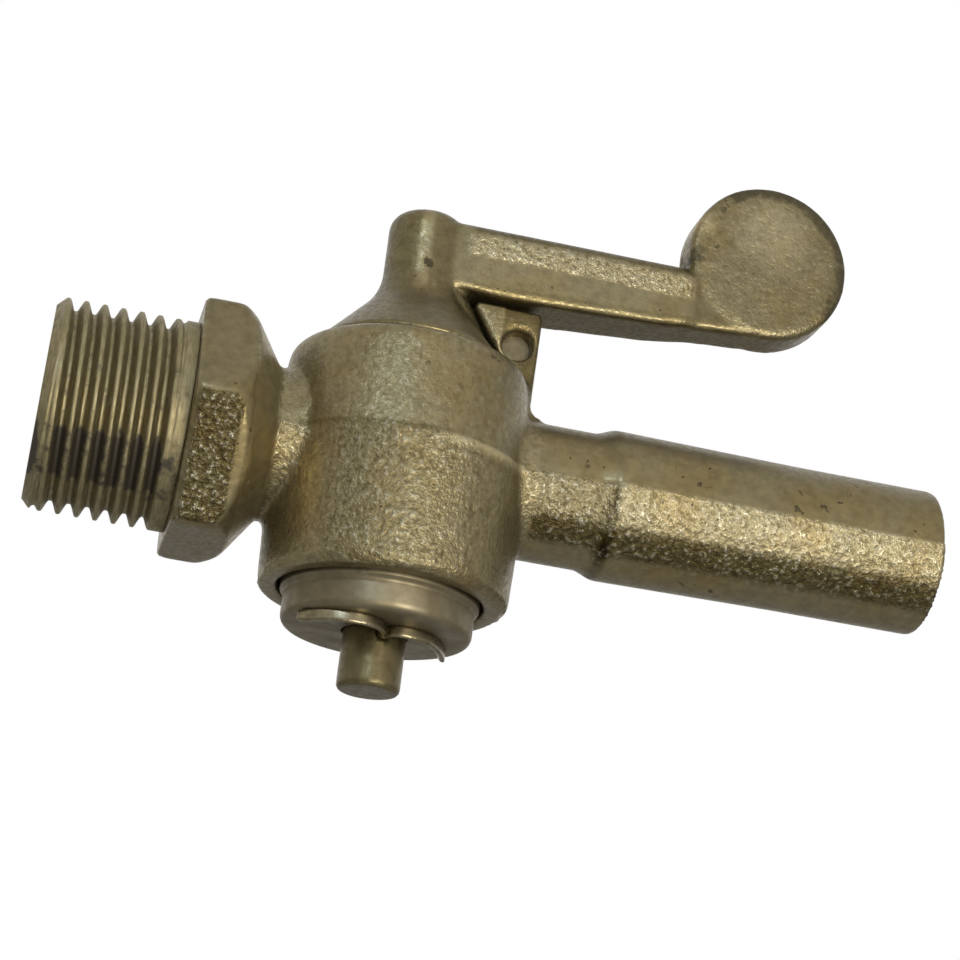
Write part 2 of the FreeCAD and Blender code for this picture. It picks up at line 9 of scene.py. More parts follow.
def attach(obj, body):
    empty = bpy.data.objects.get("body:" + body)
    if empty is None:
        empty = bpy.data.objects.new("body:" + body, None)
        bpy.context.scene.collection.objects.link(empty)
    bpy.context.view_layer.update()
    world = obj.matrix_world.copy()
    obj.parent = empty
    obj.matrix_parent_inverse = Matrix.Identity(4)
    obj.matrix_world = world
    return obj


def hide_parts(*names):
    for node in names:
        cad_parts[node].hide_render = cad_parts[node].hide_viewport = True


# A milking vacuum tap, open. Everything is in metres in the part's own frame: X along the flow from the
# inlet thread to the hose tail, Z along the plug to the lever, and x = 0 at the face of the hexagon.
bpy.ops.wm.read_factory_settings(use_empty=True)
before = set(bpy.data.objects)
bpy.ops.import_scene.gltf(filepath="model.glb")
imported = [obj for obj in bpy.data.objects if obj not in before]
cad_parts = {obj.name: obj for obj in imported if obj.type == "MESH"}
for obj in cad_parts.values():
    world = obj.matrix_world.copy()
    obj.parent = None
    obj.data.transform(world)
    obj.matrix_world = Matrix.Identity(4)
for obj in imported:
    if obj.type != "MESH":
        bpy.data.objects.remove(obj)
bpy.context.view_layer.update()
scene = bpy.context.scene
MM = 0.001


# Body casting: one sand casting in brass, nickel plated, made in two mould halves that part at z = 0.
# The solid's mesh is resampled evenly, so that its edges soften as cast ones do, and the sand's grain
# is pressed into the skin. The inlet spigot is cut away, because the cut thread below stands there.
PLUG_X = 21.8 * MM
HEX_FACE_X = -0.05 * MM
HEX_FACE_END_X = 0.3 * MM
HEX_KNOBBLY_END_X = 4.6 * MM
HEX_END_X = 5.6 * MM
HEX_BLEND_END_X = 6.2 * MM
CONE_END_X = 8.4 * MM
INLET_END_X = 14.0 * MM
TAIL_START_X = PLUG_X + 13.2 * MM
TAIL_STEP_X = 42.4 * MM
TAIL_END_X = 77.2 * MM
WEB_START_X = PLUG_X + 8.5 * MM
WEB_FRONT_Y = -2.6 * MM
WEB_MIDDLE_Y = -0.4 * MM
WEB_FOOT_Z = 8.0 * MM
BARREL_START_X = 8.0 * MM
BARREL_R = (11.0 * MM, 13.6 * MM)
INLET_BORE_SKIN_R = 6.7 * MM
TAIL_BORE_SKIN_R = 5.6 * MM
SEAT_SKIN_R = 10.35 * MM
SEAT_SKIN_Z = 14.5 * MM
POCKET_SKIN_R = 11.6 * MM
POCKET_SKIN_Z = -13.8 * MM
BODY_VOXEL = 0.345 * MM
SKIN_SMOOTHING = 3
SKIN_ALLOWANCE = 0.07 * MM
FORM_SMOOTHING = 5
MOULD_SHIFT = (0.22 * MM, -0.06 * MM, 0.0)
MOULD_SHIFT_END_Z = 13.5 * MM
SEAM_WIDTH = 0.22 * MM
HOLLOW_ROUNDS = 14
HOLLOW_DEPTH = 0.34 * MM
MACHINED_SAND = 0.08
SMOOTH_SAND = 0.10
TAIL_SAND = 1.30
KNOBBLY_SAND = 1.6
WEB_SAND = 0.40
BODY_SKIN = {
    "Grain Size": 0.7 * MM,
    "Grain Height": 0.03 * MM,
    "Lump Size": 2.6 * MM,
    "Lump Height": 0.10 * MM,
}
# Painted light and rubbing: how much each zone of the body is lightened or darkened. Most zones are painted
# highlights and painted shade, picked by which way the skin faces; the rest set a zone's own tone.
BODY_LIGHT_AND_WEAR = {
    "upper_side_shade": -0.18,
    "tail_highlight_band": 0.66,
    "tail_shade_band": -0.60,
    "tail_step": -0.30,
    "cone": 0.40,
    "web_face": -0.44,
    "knobbly": -0.54,
    "hexagon_under_shade": -0.14,
    "barrel_left": 0.12,
    "barrel_right_shade": -0.10,
    "barrel_left_low": 0.10,
    "barrel_front_low": -0.15,
    "seam_ledge_highlight": 0.85,
    "seam_shadow_line": -0.35,
}
SAND_SCALE = 2000.0
MOTTLE_SCALE = 900.0
STAIN_SCALE = 150.0
PIT_SCALE = 1000.0
MOTTLE = ((0.30, (0.84, 0.83, 0.80)), (0.52, (1.0, 1.0, 1.0)), (0.72, (1.12, 1.12, 1.10)))
# How much the painted light and rubbing change red, green and blue: blue most.
LIGHT_AND_WEAR_SHARES = (1.0, 1.05, 1.26)
EDGE_WEAR_AND_HIGHLIGHT = 0.18
PEAK_COLOUR = (0.42, 0.39, 0.29)
PEAK_SHARE = 0.30
TROUGH_SHADE = (0.45, 0.42, 0.34)
TROUGH_SHARE = 0.80
# How far the soil and painted shade darken the colour, and how much they dull it.
GRIME_AND_SHADE_SHARE = 0.82
GRIME_AND_SHADE_DULLNESS = 0.25
PIT_DEPTH = 0.8
CASTING_METALLIC = 0.86


def solid_copy(node, name):
    """Merged copy of a CAD node's mesh as a new object."""
    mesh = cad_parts[node].data.copy()
    mesh.name = name
    mesh.materials.clear()
    form = bmesh.new()
    form.from_mesh(mesh)
    bmesh.ops.remove_doubles(form, verts=form.verts, dist=0.001 * MM)
    form.to_mesh(mesh)
    form.free()
    piece = bpy.data.objects.new(name, mesh)
    scene.collection.objects.link(piece)
    return piece


def settled(piece):
    """Turns a piece's modifiers into plain mesh, smooth shaded."""
    bpy.context.view_layer.update()
    graph = bpy.context.evaluated_depsgraph_get()
    mesh = bpy.data.meshes.new_from_object(piece.evaluated_get(graph))
    piece.modifiers.clear()
    mesh.name = piece.name
    piece.data = mesh
    mesh.polygons.foreach_set("use_smooth", [True] * len(mesh.polygons))


def resampled(piece, voxel, rounds):
    """Even quads over the piece, with its sharp edges eased."""
    remesh = piece.modifiers.new("resample", "REMESH")
    remesh.mode = "VOXEL"
    remesh.voxel_size = voxel
    remesh.adaptivity = 0.0
    ease = piece.modifiers.new("ease", "SMOOTH")
    ease.factor = 0.5
    ease.iterations = rounds
    settled(piece)


def points_of(piece):
    """The piece's points as an array of x, y, z."""
    flat = np.empty(3 * len(piece.data.vertices))
    piece.data.vertices.foreach_get("co", flat)
    return flat.reshape(-1, 3)


def normals_of(piece):
    """The piece's point normals as an array."""
    flat = np.empty(3 * len(piece.data.vertices))
    piece.data.vertices.foreach_get("normal", flat)
    return flat.reshape(-1, 3)


def turn_of(facing):
    """How far each normal is turned about Z from the front, in degrees, positive to the right."""
    return np.degrees(np.arctan2(facing[:, 0], -facing[:, 1]))


def keep_values(piece, name, values):
    """Stores one number for each point of the piece."""
    layer = piece.data.attributes.new(name, "FLOAT", "POINT")
    layer.data.foreach_set("value", values.astype(np.float32))


def eased_points(piece, place, rounds, share):
    """Points drawn towards the middle of their neighbours, each by its own share, a few times over."""
    mesh = piece.data
    ends = np.empty(2 * len(mesh.edges), dtype=np.int64)
    mesh.edges.foreach_get("vertices", ends)
    first, second = ends.reshape(-1, 2).T
    count = len(mesh.vertices)
    edges_at = np.bincount(first, minlength=count) + np.bincount(second, minlength=count)
    share = np.broadcast_to(share, (count,))[:, None]
    eased = place.copy()
    for _ in range(rounds):
        total = np.empty_like(eased)
        for axis in range(3):
            total[:, axis] = np.bincount(first, eased[second, axis], count)
            total[:, axis] += np.bincount(second, eased[first, axis], count)
        eased += share * (total / edges_at[:, None] - eased)
    return eased


def move_points(piece, place):
    """Puts the piece's points at new places."""
    piece.data.vertices.foreach_set("co", place.ravel())
    piece.data.update()


def hollows_of(piece):
    """How far each point lies in a hollow, from -1 on an outer edge to 1 in an inner corner."""
    place = points_of(piece)
    eased = eased_points(piece, place, HOLLOW_ROUNDS, 0.5)
    depth = ((eased - place) * normals_of(piece)).sum(axis=1)
    return np.clip(depth / HOLLOW_DEPTH, -1.0, 1.0)


def rising(values, low, high):
    """0 below low, 1 above high, and a smooth step between."""
    t = np.clip((values - low) / (high - low), 0.0, 1.0)
    return t * t * (3.0 - 2.0 * t)


def window(values, low, high, edge):
    """1 between low and high, falling to 0 over an edge outside them."""
    return rising(values, low - edge, low) * (1.0 - rising(values, high, high + edge))


def blended_zones(zones, amounts):
    """Sum of the zones of a skin, each times its amount."""
    return sum(amounts[name] * zone for name, zone in zones.items())


def wire_up(tree, source, target):
    """Joins an output to an input of a node tree."""
    tree.links.new(source, target)


def number_on(tree, operation, *values):
    """Math node over numbers and outputs."""
    node = tree.nodes.new("ShaderNodeMath")
    node.operation = operation
    for socket, value in zip(node.inputs, values):
        if isinstance(value, float):
            socket.default_value = value
        else:
            wire_up(tree, value, socket)
    return node.outputs[0]


def product_on(tree, first, *others):
    """Product of numbers and outputs."""
    for value in others:
        first = number_on(tree, "MULTIPLY", first, value)
    return first


def sum_on(tree, first, *others):
    """Sum of numbers and outputs."""
    for value in others:
        first = number_on(tree, "ADD", first, value)
    return first


def modelling_tree(name, labels):
    """Geometry Nodes tree with number inputs under the given labels, and the sockets at its two ends."""
    tree = bpy.data.node_groups.new(name, "GeometryNodeTree")
    tree.interface.new_socket("Geometry", in_out="INPUT", socket_type="NodeSocketGeometry")
    for label in labels:
        tree.interface.new_socket(label, in_out="INPUT", socket_type="NodeSocketFloat")
    tree.interface.new_socket("Geometry", in_out="OUTPUT", socket_type="NodeSocketGeometry")
    start = tree.nodes.new("NodeGroupInput")
    end = tree.nodes.new("NodeGroupOutput")
    return tree, start.outputs, end.inputs


def painted_end(tree, geometry, material, end):
    """Ends a tree: instances made real, and one material over the whole."""
    real = tree.nodes.new("GeometryNodeRealizeInstances")
    wire_up(tree, geometry, real.inputs[0])
    paint = tree.nodes.new("GeometryNodeSetMaterial")
    paint.inputs["Material"].default_value = material
    wire_up(tree, real.outputs[0], paint.inputs["Geometry"])
    wire_up(tree, paint.outputs[0], end["Geometry"])


def skin_grain_tree(name, material):
    """Geometry Nodes that press sand grain and soft lumps into a cast skin, as strong as its rough value."""
    tree, start, end = modelling_tree(name, BODY_SKIN)
    place = tree.nodes.new("GeometryNodeInputPosition")
    normal = tree.nodes.new("GeometryNodeInputNormal")
    rough = tree.nodes.new("GeometryNodeInputNamedAttribute")
    rough.data_type = "FLOAT"
    rough.inputs["Name"].default_value = "rough"
    height = 0.0
    for kind, detail in (("Grain", 2.0), ("Lump", 1.0)):
        noise = tree.nodes.new("ShaderNodeTexNoise")
        noise.inputs["Detail"].default_value = detail
        wire_up(tree, place.outputs[0], noise.inputs["Vector"])
        wire_up(tree, number_on(tree, "DIVIDE", 1.0, start[kind + " Size"]), noise.inputs["Scale"])
        centred = sum_on(tree, noise.outputs[0], -0.5)
        height = number_on(tree, "MULTIPLY_ADD", centred, start[kind + " Height"], height)
    offset = tree.nodes.new("ShaderNodeVectorMath")
    offset.operation = "SCALE"
    wire_up(tree, normal.outputs[0], offset.inputs[0])
    wire_up(tree, product_on(tree, height, rough.outputs[0]), offset.inputs["Scale"])
    press = tree.nodes.new("GeometryNodeSetPosition")
    wire_up(tree, start["Geometry"], press.inputs["Geometry"])
    wire_up(tree, offset.outputs[0], press.inputs["Offset"])
    painted_end(tree, press.outputs[0], material, end)
    return tree


def run_tree(piece, tree, values):
    """Runs a node tree on the piece with the named values, and keeps the result as plain mesh."""
    modifier = piece.modifiers.new(tree.name, "NODES")
    modifier.node_group = tree
    for item in tree.interface.items_tree:
        if item.in_out == "INPUT" and item.name in values:
            modifier[item.identifier] = values[item.name]
    settled(piece)


def shader_on(name):
    """New material with its tree and its main shader."""
    material = bpy.data.materials.new(name)
    material.use_nodes = True
    tree = material.node_tree
    return material, tree, tree.nodes["Principled BSDF"]


def noise_on(tree, scale, detail, rough=0.5, stretch=None):
    """Noise over Object coordinates, stretched if asked, as a value from 0 to 1."""
    coordinates = tree.nodes.new("ShaderNodeTexCoord")
    source = coordinates.outputs["Object"]
    if stretch is not None:
        mapping = tree.nodes.new("ShaderNodeMapping")
        mapping.inputs["Scale"].default_value = stretch
        wire_up(tree, source, mapping.inputs["Vector"])
        source = mapping.outputs[0]
    noise = tree.nodes.new("ShaderNodeTexNoise")
    noise.inputs["Scale"].default_value = scale
    noise.inputs["Detail"].default_value = detail
    noise.inputs["Roughness"].default_value = rough
    wire_up(tree, source, noise.inputs["Vector"])
    return noise.outputs[0]


def ramp_on(tree, source, stops):
    """Colour ramp over a value from (place, colour) stops."""
    ramp = tree.nodes.new("ShaderNodeValToRGB")
    while len(ramp.color_ramp.elements) < len(stops):
        ramp.color_ramp.elements.new(0.5)
    for element, (place, colour) in zip(ramp.color_ramp.elements, stops):
        element.position = place
        element.color = (*colour, 1.0)
    wire_up(tree, source, ramp.inputs[0])
    return ramp.outputs[0]


def blended(tree, first, second, how_much, mode="MIX"):
    """Two colours mixed by a value or a number."""
    mix = tree.nodes.new("ShaderNodeMix")
    mix.data_type = "RGBA"
    mix.blend_type = mode
    for socket, value in ((mix.inputs[6], first), (mix.inputs[7], second)):
        if isinstance(value, tuple):
            socket.default_value = (*value, 1.0)
        else:
            wire_up(tree, value, socket)
    if isinstance(how_much, float):
        mix.inputs[0].default_value = how_much
    else:
        wire_up(tree, how_much, mix.inputs[0])
    return mix.outputs[2]


def ranged_on(tree, value, low, high, from_value=0.0, to_value=1.0):
    """A value taken smoothly from one range to another."""
    node = tree.nodes.new("ShaderNodeMapRange")
    node.interpolation_type = "SMOOTHSTEP"
    wire_up(tree, value, node.inputs["Value"])
    node.inputs["From Min"].default_value = low
    node.inputs["From Max"].default_value = high
    node.inputs["To Min"].default_value = from_value
    node.inputs["To Max"].default_value = to_value
    return node.outputs[0]


def kept_value(tree, name):
    """A number stored on the piece's points."""
    node = tree.nodes.new("ShaderNodeAttribute")
    node.attribute_name = name
    return node.outputs["Fac"]


def sand_on(tree, scale):
    """Height of a sand-cast skin from 0 to 1: coarse noise creased by grains a cell wide."""
    coordinates = tree.nodes.new("ShaderNodeTexCoord")
    cells = tree.nodes.new("ShaderNodeTexVoronoi")
    cells.inputs["Scale"].default_value = 0.8 * scale
    wire_up(tree, coordinates.outputs["Object"], cells.inputs["Vector"])
    creases = ranged_on(tree, cells.outputs["Distance"], 0.75, 0.25)
    noise = ranged_on(tree, noise_on(tree, scale, 3.0, 0.62), 0.22, 0.78)
    return sum_on(tree, product_on(tree, creases, 0.22), product_on(tree, noise, 0.78))


def plated_casting(name, brass, nickel, grime_and_shade, grain_height):
    """Worn nickel over sand-cast brass: the hollows darkened as soil and painted shade, the pits dark, and
    the grain's peaks lightened as polished metal and painted glints.

    It reads four values kept on the skin: how rough it is, how hollow, how much soil and painted shade it
    carries, and its painted light and rubbing, which is above 0 where painted highlights and polish from
    handling lighten the skin and below 0 where painted shade and browning darken it, so that blue changes
    more than red.
    """
    material, tree, shader = shader_on(name)
    grain = sand_on(tree, SAND_SCALE)
    coarse = noise_on(tree, MOTTLE_SCALE, 2.0)
    stain = noise_on(tree, STAIN_SCALE, 4.0, 0.55)
    pits = noise_on(tree, PIT_SCALE, 2.0)
    rough = kept_value(tree, "rough")
    hollow = kept_value(tree, "hollow")

    colour = blended(tree, brass, nickel, ranged_on(tree, stain, 0.36, 0.62))
    # Outer edges are lightened as rubbed metal and as painted edge highlights.
    edges = product_on(tree, ranged_on(tree, hollow, -0.30, -0.95), EDGE_WEAR_AND_HIGHLIGHT)
    lit_and_worn = sum_on(tree, kept_value(tree, "light_and_wear"), edges)
    # The kept painted light and rubbing tint the colour: painted highlights and shade, polish and browning.
    light_and_wear_tint = tree.nodes.new("ShaderNodeCombineColor")
    for socket, share in zip(light_and_wear_tint.inputs, LIGHT_AND_WEAR_SHARES):
        wire_up(tree, number_on(tree, "MULTIPLY_ADD", lit_and_worn, share, 1.0), socket)
    colour = blended(tree, colour, light_and_wear_tint.outputs[0], 1.0, "MULTIPLY")
    colour = blended(tree, colour, ramp_on(tree, coarse, MOTTLE), 1.0, "MULTIPLY")
    # The grain's peaks are lightened as polished metal and as painted glints, most where the skin is
    # roughest.
    peaks = product_on(tree, ranged_on(tree, grain, 0.55, 0.90), rough, PEAK_SHARE)
    colour = blended(tree, colour, PEAK_COLOUR, peaks)
    troughs = product_on(tree, ranged_on(tree, grain, 0.42, 0.12), rough)
    troughs = product_on(tree, number_on(tree, "MINIMUM", troughs, 1.0), TROUGH_SHARE)
    colour = blended(tree, colour, TROUGH_SHADE, troughs, "MULTIPLY")

    spots = product_on(tree, ranged_on(tree, pits, 0.69, 0.715), ranged_on(tree, stain, 0.52, 0.42))
    unevenness = product_on(tree, sum_on(tree, coarse, -0.5), 1.1)
    # Darkening in the hollows is soil and painted shade; the patches follow the kept soil and painted shade.
    grime_and_shade_in_hollows = ranged_on(tree, sum_on(tree, hollow, unevenness), 0.25, 0.95)
    patches = ranged_on(tree, sum_on(tree, kept_value(tree, "dirt_and_shade"), unevenness), 0.50, 0.85)
    grime_and_shade_amount = number_on(tree, "MAXIMUM", number_on(tree, "MAXIMUM", grime_and_shade_in_hollows, spots), patches)
    grime_and_shade_amount = product_on(tree, grime_and_shade_amount, GRIME_AND_SHADE_SHARE)
    wire_up(tree, blended(tree, colour, grime_and_shade, grime_and_shade_amount), shader.inputs["Base Color"])
    shader.inputs["Metallic"].default_value = CASTING_METALLIC
    dullness = ranged_on(tree, grain, 0.3, 0.7, 0.44, 0.32)
    dullness = sum_on(tree, dullness, product_on(tree, grime_and_shade_amount, GRIME_AND_SHADE_DULLNESS))
    wire_up(tree, dullness, shader.inputs["Roughness"])

    bump = tree.nodes.new("ShaderNodeBump")
    bump.inputs["Strength"].default_value = 1.0
    bump.inputs["Distance"].default_value = grain_height
    relief = sum_on(tree, product_on(tree, grain, rough), product_on(tree, spots, -PIT_DEPTH))
    wire_up(tree, relief, bump.inputs["Height"])
    wire_up(tree, bump.outputs[0], shader.inputs["Normal"])
    return material


body_casting = plated_casting(
    "body_casting",
    brass=(0.178, 0.136, 0.060),
    nickel=(0.178, 0.146, 0.075),
    grime_and_shade=(0.045, 0.036, 0.019),
    grain_height=0.11 * MM,
)

body = solid_copy("valve_body", "cast_body")
form = bmesh.new()
form.from_mesh(body.data)
cut = bmesh.ops.bisect_plane(
    form,
    geom=form.verts[:] + form.edges[:] + form.faces[:],
    plane_co=(HEX_FACE_X, 0, 0),
    plane_no=(1, 0, 0),
    clear_inner=True,
)
rim = [item for item in cut["geom_cut"] if isinstance(item, bmesh.types.BMEdge)]
bmesh.ops.triangle_fill(form, edges=rim, use_beauty=True, normal=(-1, 0, 0))
form.to_mesh(body.data)
form.free()
resampled(body, BODY_VOXEL, SKIN_SMOOTHING)

place = points_of(body)
x, y, z = place.T
web_front = (x > WEB_START_X) & (y < WEB_MIDDLE_Y) & (z > WEB_FOOT_Z)
hexagon = (x > HEX_FACE_END_X) & (x < HEX_BLEND_END_X)
move_points(body, eased_points(body, place, FORM_SMOOTHING, 0.5 * (web_front | hexagon)))

place = points_of(body)
facing = normals_of(body)
x, y, z = place.T
flow_r = np.hypot(y, z)
plug_r = np.hypot(x - PLUG_X, y)
lean = np.degrees(np.arcsin(np.clip(facing[:, 2], -1.0, 1.0)))
turn = turn_of(facing)
lower = rising(-z, 0.0, SEAM_WIDTH)
machined = np.logical_or.reduce([
    flow_r < np.where(x < INLET_END_X, INLET_BORE_SKIN_R, TAIL_BORE_SKIN_R),
    (plug_r < SEAT_SKIN_R) & (abs(z) < SEAT_SKIN_Z),
    (plug_r < POCKET_SKIN_R) & (z < POCKET_SKIN_Z),
    x < HEX_FACE_END_X,
    x > TAIL_END_X,
])
cast = 1.0 - machined

on_hexagon = (x > 0.0) & (x < HEX_END_X)
on_tail = x > TAIL_START_X
on_barrel = (plug_r > BARREL_R[0]) & (plug_r < BARREL_R[1]) & (x > BARREL_START_X) & ~on_tail
barrel_left = window(turn, -89.0, -50.0, 12.0) * on_barrel
past_step = rising(x, TAIL_STEP_X, TAIL_STEP_X + 1.0 * MM)
step_line = window(x, TAIL_STEP_X - 0.1 * MM, TAIL_STEP_X + 0.5 * MM, 0.4 * MM)
ledge_line = window(z, -0.75 * MM, -0.05 * MM, 0.20 * MM)
parting_line = window(z, -0.1 * MM, 0.25 * MM, 0.15 * MM)
hex_side = (facing[:, 0] < 0.3) & (facing[:, 1] < -0.5) & (facing[:, 2] < -0.25)
# Zones of painted light: the tail's front band, the cone, the barrel's left side and lower left and the
# seam's ledge are painted highlights; the upper sides, the hexagon's underside, the tail's lower band, the
# barrel's right side and lower front are painted shade, and the seam line is a painted shadow under the
# upper half. The tail step is darkened as soil and painted shade; the web face and the knobbly hexagon face
# are darker.
zones = {
    "upper_side_shade": rising(lean, 2.0, 25.0) * (on_tail | on_hexagon),
    "tail_highlight_band": window(lean, -28.0, 0.0, 8.0) * lower * on_tail * (0.16 + 0.84 * past_step),
    "tail_shade_band": window(lean, -54.0, -40.0, 11.0) * on_tail,
    "tail_step": step_line * rising(-z, -1.0 * MM, 0.5 * MM),
    "cone": (x > HEX_END_X) & (x < CONE_END_X),
    "web_face": web_front & (y > WEB_FRONT_Y - 0.6 * MM) & (facing[:, 1] < -0.5),
    "knobbly": hex_side & (x < HEX_KNOBBLY_END_X),
    "hexagon_under_shade": on_hexagon * rising(-facing[:, 2], 0.6, 0.9),
    "barrel_left": barrel_left,
    "barrel_right_shade": window(turn, 30.0, 89.0, 12.0) * on_barrel,
    "barrel_left_low": barrel_left * lower,
    "barrel_front_low": window(turn, -28.0, 8.0, 14.0) * on_barrel * lower,
    "seam_ledge_highlight": ledge_line * window(turn, 12.0, 75.0, 12.0) * on_barrel,
    "seam_shadow_line": parting_line * window(turn, -80.0, 5.0, 15.0) * on_barrel,
}
keep_values(body, "light_and_wear", blended_zones(zones, BODY_LIGHT_AND_WEAR) * cast)

barrel_front = window(turn, -30.0, 22.0, 18.0)
upper_sand = 0.28 + 0.26 * barrel_front
lower_sand = 0.40 + 0.52 * barrel_front
tail_sand = SMOOTH_SAND + TAIL_SAND * lower * window(lean, -52.0, 0.0, 15.0)
sand = upper_sand + lower * (lower_sand - upper_sand)
sand = np.where(zones["cone"], SMOOTH_SAND, sand)
sand = np.where(on_tail, tail_sand, sand)
sand = np.where(on_hexagon, SMOOTH_SAND + KNOBBLY_SAND * zones["knobbly"], sand)
sand = np.where(zones["web_face"], WEB_SAND, sand)
keep_values(body, "rough", sand * (MACHINED_SAND + (1.0 - MACHINED_SAND) * cast))
keep_values(body, "hollow", hollows_of(body) * cast)
# Soil and painted shade: the tail's lower band is painted shade, the tail step is soil and painted shade,
# and a band just below the lever's skirt is darker.
dirt_and_shade = 0.45 * zones["tail_shade_band"] + 0.35 * window(z, 9.2 * MM, 11.5 * MM, 1.0 * MM)
keep_values(body, "dirt_and_shade", np.maximum(dirt_and_shade, 0.50 * zones["tail_step"]) * cast)

shifted = lower * cast * (abs(z) < MOULD_SHIFT_END_Z)
place += np.array(MOULD_SHIFT) * shifted[:, None] + facing * (SKIN_ALLOWANCE * cast)[:, None]
move_points(body, place)
run_tree(body, skin_grain_tree("cast_body_skin", body_casting), BODY_SKIN)
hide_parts("valve_body")
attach(body, "body")


# Inlet thread: G 1/2, right-hand, cut on the casting's spigot, with a plain collar left at the hexagon.
# It is turned as a ring blank, and the groove is then run round it at its pitch by Geometry Nodes.
THREAD_MAJOR_R = 10.4775 * MM
THREAD_END_X = -13.98 * MM
THREAD_CHAMFER = 0.9 * MM
THREAD_FLAT = 0.165
THREAD_FLANK = 0.67
INLET_BORE_R = 6.5 * MM
INLET_BORE_CHAMFER = 0.5 * MM
THREAD_STEPS_AROUND = 288
THREAD_STEPS_ALONG = 150
THREAD_CHAMFER_STEPS = 10
THREAD_SHAPE = {
    "Major Radius": THREAD_MAJOR_R,
    "Pitch": 1.814 * MM,
    "Depth": 1.16 * MM,
    "First Crest": -11.30 * MM,
    "Collar": 1.2 * MM,
    "Run Out": 0.9 * MM,
    "Free End": THREAD_END_X,
    "End Land": 0.8 * MM,
}
THREAD_BRASS = ((0.30, (0.15, 0.120, 0.056)), (0.55, (0.22, 0.182, 0.098)), (0.76, (0.29, 0.25, 0.155)))
# Dark colour for soil in the grooves and for the painted shaded band.
THREAD_SMUT_AND_SHADE = (0.040, 0.031, 0.018)


def turned_ring(name, outline, steps_around, centre=(0.0, 0.0), along="X"):
    """Closed ring turned from a closed outline of (place along, radius) points about X or Z."""
    outline = np.array(outline)
    angles = np.linspace(0.0, 2.0 * math.pi, steps_around, endpoint=False)
    reach, angle = np.meshgrid(outline[:, 1], angles)
    level = np.tile(outline[:, 0], (steps_around, 1))
    across, up = reach * np.cos(angle), reach * np.sin(angle)
    if along == "X":
        grid = np.stack([level, centre[0] + across, centre[1] + up], axis=-1)
    else:
        grid = np.stack([centre[0] + up, centre[1] + across, level], axis=-1)
    rows, columns = grid.shape[:2]
    index = np.arange(rows * columns).reshape(rows, columns)
    ahead = np.roll(index, -1, axis=0)
    faces = np.stack([index, np.roll(index, -1, axis=1), np.roll(ahead, -1, axis=1), ahead], axis=-1)
    mesh = bpy.data.meshes.new(name)
    mesh.from_pydata(grid.reshape(-1, 3).tolist(), [], faces.reshape(-1, 4).tolist())
    form = bmesh.new()
    form.from_mesh(mesh)
    bmesh.ops.recalc_face_normals(form, faces=form.faces)
    form.to_mesh(mesh)
    form.free()
    mesh.polygons.foreach_set("use_smooth", [True] * len(mesh.polygons))
    piece = bpy.data.objects.new(name, mesh)
    scene.collection.objects.link(piece)
    return piece


def clamped_on(tree, value):
    """A value held between 0 and 1."""
    return number_on(tree, "MINIMUM", number_on(tree, "MAXIMUM", value, 0.0), 1.0)


def thread_tree(material):
    """Geometry Nodes that cut a right-hand groove round a blank on the X axis."""
    tree, start, end = modelling_tree("cut_thread", THREAD_SHAPE)
    place = tree.nodes.new("GeometryNodeInputPosition")
    split = tree.nodes.new("ShaderNodeSeparateXYZ")
    wire_up(tree, place.outputs[0], split.inputs[0])
    along, side, up = split.outputs

    turn = number_on(tree, "ARCTAN2", product_on(tree, side, -1.0), up)
    turn = number_on(tree, "DIVIDE", turn, 2.0 * math.pi)
    pitches = number_on(tree, "SUBTRACT", along, start["First Crest"])
    pitches = number_on(tree, "DIVIDE", pitches, start["Pitch"])
    phase = sum_on(tree, number_on(tree, "SUBTRACT", pitches, turn), 0.5)
    phase = sum_on(tree, number_on(tree, "FRACT", phase), -0.5)
    from_crest = product_on(tree, number_on(tree, "ABSOLUTE", phase), 2.0)
    groove = number_on(tree, "DIVIDE", sum_on(tree, from_crest, -THREAD_FLAT), THREAD_FLANK)
    groove = clamped_on(tree, groove)
    fullness = number_on(tree, "SUBTRACT", 3.0, product_on(tree, groove, 2.0))
    rounded = product_on(tree, groove, groove, fullness)
    groove = product_on(tree, sum_on(tree, groove, rounded), 0.5)

    run_out = number_on(tree, "SUBTRACT", product_on(tree, along, -1.0), start["Collar"])
    run_out = clamped_on(tree, number_on(tree, "DIVIDE", run_out, start["Run Out"]))
    lead = number_on(tree, "SUBTRACT", along, start["Free End"])
    lead = number_on(tree, "SUBTRACT", lead, start["End Land"])
    lead = clamped_on(tree, number_on(tree, "DIVIDE", lead, start["Run Out"]))
    depth = product_on(tree, groove, start["Depth"], run_out, lead)
    limit = number_on(tree, "SUBTRACT", start["Major Radius"], depth)
    square = sum_on(tree, product_on(tree, side, side), product_on(tree, up, up))
    radius = number_on(tree, "SQRT", square)
    ratio = number_on(tree, "DIVIDE", number_on(tree, "MINIMUM", radius, limit), radius)

    join = tree.nodes.new("ShaderNodeCombineXYZ")
    wire_up(tree, along, join.inputs[0])
    wire_up(tree, product_on(tree, side, ratio), join.inputs[1])
    wire_up(tree, product_on(tree, up, ratio), join.inputs[2])
    turned = tree.nodes.new("GeometryNodeSetPosition")
    wire_up(tree, start["Geometry"], turned.inputs["Geometry"])
    wire_up(tree, join.outputs[0], turned.inputs["Position"])
    painted_end(tree, turned.outputs[0], material, end)
    return tree


thread_cut, tree, shader = shader_on("thread_cut")
streak = noise_on(tree, 1.0, 3.0, 0.6, stretch=(9000.0, 700.0, 700.0))
patch = noise_on(tree, 800.0, 4.0, 0.65)
